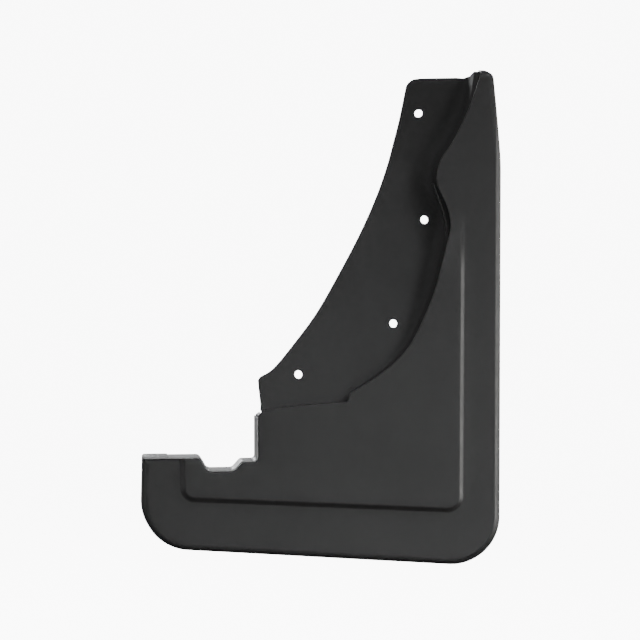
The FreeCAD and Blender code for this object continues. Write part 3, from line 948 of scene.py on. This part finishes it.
# short upstanding lip beside the panel's edge, above the second hole
lip = resample(spline_pts([(8.2, -52.6), (9.3, -56.4), (11.8, -63.5), (14.9, -71.8), (17.3, -80.4), (18.9, -89.7), (19.2, -94.0)], 4), 1.2)
ln = normals(lip)
nl_ = len(lip)
sec = [(-0.5, -22.0), (-0.5, -31.6), (-0.42, -31.9), (-0.3, -32.05), (0.3, -32.05), (0.42, -31.9), (0.5, -31.6), (0.5, -22.0)]
V3, F3 = [], []
for i in range(nl_):
    end = min(1.0, (nl_ - 1 - i) / 9.0)
    for o, y in sec:
        yy = -22.0 + (y + 22.0) * (0.72 + 0.28 * smooth(end))
        V3.append((lip[i][0] + ln[i][0] * o, yy, lip[i][1] + ln[i][1] * o))
m = len(sec)
for i in range(nl_ - 1):
    for k in range(m):
        j = (k + 1) % m
        F3.append((i * m + k, i * m + j, (i + 1) * m + j, (i + 1) * m + k))
F3.append(tuple(range(m)))
F3.append(tuple(range((nl_ - 1) * m, nl_ * m))[::-1])
wing.add(V3, F3)
wing_ob = wing.make("arch_wing_moulding", 38)

# ------------------------------------------------------------------ notch trim
trim = Soup()
sec = []
for cx, cy, r, a0 in ((0.62, -35.58, 0.62, 180), (0.88, -35.58, 0.62, 270), (1.0, -16.7, 0.5, 0), (0.5, -16.7, 0.5, 90)):
    for k in range(5):
        a = math.radians(a0 + 22.5 * k)
        sec.append((cx + r * math.cos(a), cy + r * math.sin(a)))
sec = sec[:10] + [(1.5, -29.5), (1.5, -23.0)] + sec[10:] + [(0.0, -23.0), (0.0, -29.5)]
m = len(sec)
sl = {round(d, 4): notch_line.sample(d) for d, _ in sec}
L = len(next(iter(sl.values())))
V3 = np.zeros((L, m, 3))
for k, (d, y) in enumerate(sec):
    q = sl[round(d, 4)]
    V3[:, k] = np.stack([q[:, 0], np.full(L, y), q[:, 1]], 1)
F3 = []
for i in range(L - 1):
    for k in range(m):
        j = (k + 1) % m
        F3.append((i * m + k, i * m + j, (i + 1) * m + j, (i + 1) * m + k))
F3.append(tuple(range(m)))
F3.append(tuple(range((L - 1) * m, L * m))[::-1])
trim.add(V3.reshape(-1, 3), F3)
trim_ob = trim.make("notch_trim_strip", 40)
pad = Soup()
px0, px1, py0, py1, pr = -218.45, -199.45, -35.2, -17.2, 1.5
rr = []
for cx, cy, a0 in ((px1 - pr, py1 - pr, 0), (px0 + pr, py1 - pr, 90), (px0 + pr, py0 + pr, 180), (px1 - pr, py0 + pr, 270)):
    for k in range(7):
        a = math.radians(a0 + 15 * k)
        rr.append((cx, cy, math.cos(a), math.sin(a)))
levels = [(pr, -264.2), (pr, -263.35), (pr - 0.12, -263.1), (pr - 0.4, -263.0)]
V3 = [(cx + c * r, cy + s_ * r, z) for r, z in levels for cx, cy, c, s_ in rr]
m = len(rr)
F3 = [(k * m + i, k * m + (i + 1) % m, (k + 1) * m + (i + 1) % m, (k + 1) * m + i) for k in range(3) for i in range(m)]
F3 += [tuple(range(m))[::-1], tuple(range(3 * m, 4 * m))]
pad.add(V3, F3)
pad_ob = pad.make("notch_trim_pad", 40)
hole2 = drum(LEDGE_HOLE[0], LEDGE_HOLE[1], -272.0, -258.0, 2.5)
cut_out(trim_ob, [hole2], 40)
cut_out(pad_ob, [hole2], 40)

# --------------------------------------------------------------- fender strip
seal_line = Chain([((47.5, 34.5), 0), ((54.6, 34.5), 6), ((61.6, -35.8), 220), ((61.28, -262.0), 0)], closed=False, step=2.5)
sec = [(0.25, -13.7), (0.25, -12.0), (0.3, -11.2), (0.55, -10.6), (1.0, -10.25), (1.5, -10.2), (2.0, -10.25), (2.45, -10.6),
       (2.7, -11.2), (2.75, -12.0), (2.75, -13.7)]
m = len(sec)
sl = [seal_line.sample(d) for d, _ in sec]
L = len(sl[0])
V3 = np.zeros((L, m, 3))
for k, (d, y) in enumerate(sec):
    V3[:, k] = np.stack([sl[k][:, 0], np.full(L, y), sl[k][:, 1]], 1)
F3 = []
for i in range(L - 1):
    for k in range(m):
        j = (k + 1) % m
        F3.append((i * m + k, i * m + j, (i + 1) * m + j, (i + 1) * m + k))
F3.append(tuple(range(m)))
F3.append(tuple(range((L - 1) * m, L * m))[::-1])
seal = Soup()
seal.add(V3.reshape(-1, 3), F3)
seal_ob = seal.make("fender_strip", 50)
for c in (hole, hole2):
    bpy.data.objects.remove(c, do_unlink=True)


# ------------------------------------------------------------------- materials
def nodes_of(name):
    mat = bpy.data.materials.new(name)
    mat.use_nodes = True
    nt = mat.node_tree
    nt.nodes.clear()
    out = nt.nodes.new("ShaderNodeOutputMaterial")
    bs = nt.nodes.new("ShaderNodeBsdfPrincipled")
    nt.links.new(bs.outputs["BSDF"], out.inputs["Surface"])
    co = nt.nodes.new("ShaderNodeTexCoord")
    return mat, nt, bs, co


def noise(nt, co, scale, detail=3.0, rough=0.5, stretch=None):
    t = nt.nodes.new("ShaderNodeTexNoise")
    t.inputs["Scale"].default_value = scale
    t.inputs["Detail"].default_value = detail
    t.inputs["Roughness"].default_value = rough
    if stretch:
        mp = nt.nodes.new("ShaderNodeMapping")
        mp.inputs["Scale"].default_value = stretch
        nt.links.new(co.outputs["Object"], mp.inputs["Vector"])
        nt.links.new(mp.outputs["Vector"], t.inputs["Vector"])
    else:
        nt.links.new(co.outputs["Object"], t.inputs["Vector"])
    return t


def ramp(nt, src, lo, hi, a, b):
    r = nt.nodes.new("ShaderNodeMapRange")
    r.inputs["From Min"].default_value = lo
    r.inputs["From Max"].default_value = hi
    r.inputs["To Min"].default_value = a
    r.inputs["To Max"].default_value = b
    nt.links.new(src, r.inputs["Value"])
    return r


def moulded(name, grey, rough, grain, vary=0.10, warm=(1.0, 1.0, 1.0), spec=0.5, fine=2600.0):
    mat, nt, bs, co = nodes_of(name)
    big = noise(nt, co, 9.0, 4.0, 0.55)
    mid = noise(nt, co, 160.0, 3.0, 0.6)
    tone = ramp(nt, big.outputs["Fac"], 0.3, 0.7, 1 - vary, 1 + vary)
    tone2 = ramp(nt, mid.outputs["Fac"], 0.3, 0.7, 0.96, 1.04)
    mul = nt.nodes.new("ShaderNodeMath"); mul.operation = "MULTIPLY"
    nt.links.new(tone.outputs[0], mul.inputs[0]); nt.links.new(tone2.outputs[0], mul.inputs[1])
    vm = nt.nodes.new("ShaderNodeVectorMath"); vm.operation = "SCALE"
    vm.inputs[0].default_value = tuple(grey * w for w in warm)
    nt.links.new(mul.outputs[0], vm.inputs["Scale"])
    nt.links.new(vm.outputs[0], bs.inputs["Base Color"])
    rg = ramp(nt, mid.outputs["Fac"], 0.25, 0.75, rough - 0.05, rough + 0.06)
    nt.links.new(rg.outputs[0], bs.inputs["Roughness"])
    bs.inputs["Specular IOR Level"].default_value = spec
    bs.inputs["IOR"].default_value = 1.49
    g = noise(nt, co, fine, 2.0, 0.6)
    g2 = noise(nt, co, 700.0, 2.0, 0.5)
    add = nt.nodes.new("ShaderNodeMath"); add.operation = "MULTIPLY_ADD"
    add.inputs[1].default_value = 0.6
    nt.links.new(g2.outputs["Fac"], add.inputs[0]); nt.links.new(g.outputs["Fac"], add.inputs[2])
    bp = nt.nodes.new("ShaderNodeBump")
    bp.inputs["Strength"].default_value = grain
    bp.inputs["Distance"].default_value = 0.00012
    nt.links.new(add.outputs[0], bp.inputs["Height"])
    nt.links.new(bp.outputs["Normal"], bs.inputs["Normal"])
    return mat


def metal(name, grey, rough, metallic=1.0, warm=(1, 1, 1)):
    mat, nt, bs, co = nodes_of(name)
    a = noise(nt, co, 300.0, 4.0, 0.6)
    t = ramp(nt, a.outputs["Fac"], 0.3, 0.7, 0.85, 1.1)
    vm = nt.nodes.new("ShaderNodeVectorMath"); vm.operation = "SCALE"
    vm.inputs[0].default_value = tuple(grey * w for w in warm)
    nt.links.new(t.outputs[0], vm.inputs["Scale"])
    nt.links.new(vm.outputs[0], bs.inputs["Base Color"])
    r = ramp(nt, a.outputs["Fac"], 0.3, 0.7, rough - 0.08, rough + 0.1)
    nt.links.new(r.outputs[0], bs.inputs["Roughness"])
    bs.inputs["Metallic"].default_value = metallic
    bp = nt.nodes.new("ShaderNodeBump")
    bp.inputs["Strength"].default_value = 0.2
    bp.inputs["Distance"].default_value = 0.00005
    nt.links.new(a.outputs["Fac"], bp.inputs["Height"])
    nt.links.new(bp.outputs["Normal"], bs.inputs["Normal"])
    return mat


M_PANEL = moulded("moulded_black_plastic", 0.0255, 0.46, 0.35, spec=0.45)
M_WING = moulded("wing_black_plastic", 0.042, 0.74, 0.35, spec=0.22)
M_TRIM = moulded("light_trim_plastic", 0.30, 0.45, 0.25, vary=0.04, fine=1800.0)
M_SEAL = moulded("seal_rubber_soft", 0.018, 0.75, 0.9, vary=0.12, fine=900.0)
M_SCREW = metal("screw_black_steel", 0.10, 0.38)
M_WASH = metal("washer_zinc_steel", 0.55, 0.33, warm=(1.0, 0.99, 0.95))
for ob, mt in ((panel_ob, M_PANEL), (wing_ob, M_WING), (trim_ob, M_TRIM), (pad_ob, M_TRIM), (seal_ob, M_SEAL),
               (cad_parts["joint_screws"], M_SCREW), (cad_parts["joint_washers"], M_WASH)):
    ob.data.materials.clear()
    ob.data.materials.append(mt)

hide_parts("outer_panel", "lower_skirt")
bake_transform(panel_ob)
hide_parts("arch_wing")
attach(wing_ob, "guard")
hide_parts("notch_edge_trim")
for ob in (trim_ob, pad_ob):
    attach(ob, "guard")
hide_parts("fender_edge_seal")
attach(seal_ob, "guard")

# ---------------------------------------------------------------- floor, light
AIM = Vector((-0.079, -0.015, -0.160))


def floor():
    """Plain pale floor, far enough below that the part hangs clear of it."""
    n, half, z0 = 24, 14.0, -0.62
    v = [(-half + 2 * half * i / n, -half + 2 * half * j / n, z0) for j in range(n + 1) for i in range(n + 1)]
    f = [(j * (n + 1) + i, j * (n + 1) + i + 1, (j + 1) * (n + 1) + i + 1, (j + 1) * (n + 1) + i)
         for j in range(n) for i in range(n)]
    me = bpy.data.meshes.new("studio_floor")
    me.from_pydata(v, [], f)
    ob = bpy.data.objects.new("studio_floor", me)
    bpy.context.scene.collection.objects.link(ob)
    mat, nt, bs, co = nodes_of("studio_paper")
    nz = noise(nt, co, 0.7, 2.0, 0.5)
    r = ramp(nt, nz.outputs["Fac"], 0.3, 0.7, 0.80, 0.82)
    nt.links.new(r.outputs[0], bs.inputs["Base Color"])
    bs.inputs["Roughness"].default_value = 0.95
    bs.inputs["Emission Color"].default_value = (1.0, 1.0, 1.0, 1.0)
    bs.inputs["Emission Strength"].default_value = 9.0
    me.materials.append(mat)
    ob.visible_diffuse = False
    ob.visible_glossy = False


floor()
world = bpy.data.worlds.new("studio_world")
bpy.context.scene.world = world
world.use_nodes = True
wt = world.node_tree
wt.nodes.clear()
w_out_n = wt.nodes.new("ShaderNodeOutputWorld")
bg = wt.nodes.new("ShaderNodeBackground")
wc = wt.nodes.new("ShaderNodeTexCoord")
sx = wt.nodes.new("ShaderNodeSeparateXYZ")
wr = wt.nodes.new("ShaderNodeMapRange")
wr.interpolation_type = "SMOOTHSTEP"
wr.inputs["From Min"].default_value = -0.35
wr.inputs["From Max"].default_value = 0.75
wr.inputs["To Min"].default_value = 0.046
wr.inputs["To Max"].default_value = 0.385
wt.links.new(wc.outputs["Generated"], sx.inputs["Vector"])
wt.links.new(sx.outputs["Z"], wr.inputs["Value"])
wt.links.new(wr.outputs[0], bg.inputs["Strength"])
bg.inputs["Color"].default_value = (0.97, 0.98, 1.0, 1.0)
wt.links.new(bg.outputs[0], w_out_n.inputs["Surface"])


def softbox(name, loc, size, power, tint=(1, 1, 1), aim=AIM, spread=180.0):
    ld = bpy.data.lights.new(name, "AREA")
    ld.spread = math.radians(spread)
    ld.shape = "RECTANGLE"
    ld.size, ld.size_y = size
    ld.energy = power
    ld.color = tint
    ob = bpy.data.objects.new(name, ld)
    bpy.context.scene.collection.objects.link(ob)
    ob.location = loc
    ob.rotation_euler = (Vector(aim) - Vector(loc)).to_track_quat("-Z", "Y").to_euler()
    return ob


softbox("front_box", (-0.3, -2.2, 0.9), (1.0, 0.6), 0.65, (0.98, 0.99, 1.0), aim=(0.0, 0.0, -0.42), spread=30.0)
softbox("high_box", (1.3, -2.2, 1.15), (1.2, 0.5), 0.95, (0.98, 0.99, 1.0), aim=(0.0, 0.0, -0.42), spread=24.0)
softbox("fill_box", (-0.6, -1.8, -0.6), (0.8, 0.6), 0.1, (0.98, 0.99, 1.0), aim=(0.0, 0.0, -0.42), spread=40.0)
softbox("low_box", (0.8, -1.6, -0.5), (0.8, 0.6), 0.42, aim=(0.0, 0.0, -0.35), spread=60.0)
softbox("skirt_box", (1.0, -2.0, -0.1), (0.6, 0.6), 0.36, aim=(0.0, 0.0, -0.50), spread=26.0)
softbox("rim_box", (1.6, -0.15, -0.50), (0.6, 0.8), 3.5, (1.0, 0.99, 0.97), aim=(0.05, -0.03, -0.30), spread=70.0)
softbox("left_box", (-2.0, -0.35, -0.1), (0.6, 1.2), 4.5, (1.0, 1.0, 1.0), aim=(0.0, 0.0, -0.20))
softbox("rear_box", (-1.0, 2.2, 0.8), (1.4, 1.0), 30.0, (0.98, 0.99, 1.0), aim=(0.0, 0.0, -0.20), spread=120.0)
softbox("rear_side_box", (1.4, 1.6, 0.1), (0.7, 1.2), 14.0, (1.0, 0.99, 0.97), aim=(0.0, 0.0, -0.20), spread=120.0)

cam_d = bpy.data.cameras.new("photo_camera")
cam = bpy.data.objects.new("photo_camera", cam_d)
bpy.context.scene.collection.objects.link(cam)
AZ, EL, DIST = math.radians(-6.0), math.radians(6.0), 5.0
fwd = Vector((-math.sin(AZ) * math.cos(EL), math.cos(AZ) * math.cos(EL), -math.sin(EL)))
cam.location = AIM - fwd * DIST
cam.rotation_euler = fwd.to_track_quat("-Z", "Y").to_euler()
cam_d.sensor_width = 36.0
cam_d.lens = 36.0 * DIST / 0.50
cam_d.clip_end = 50.0
bpy.context.scene.camera = cam
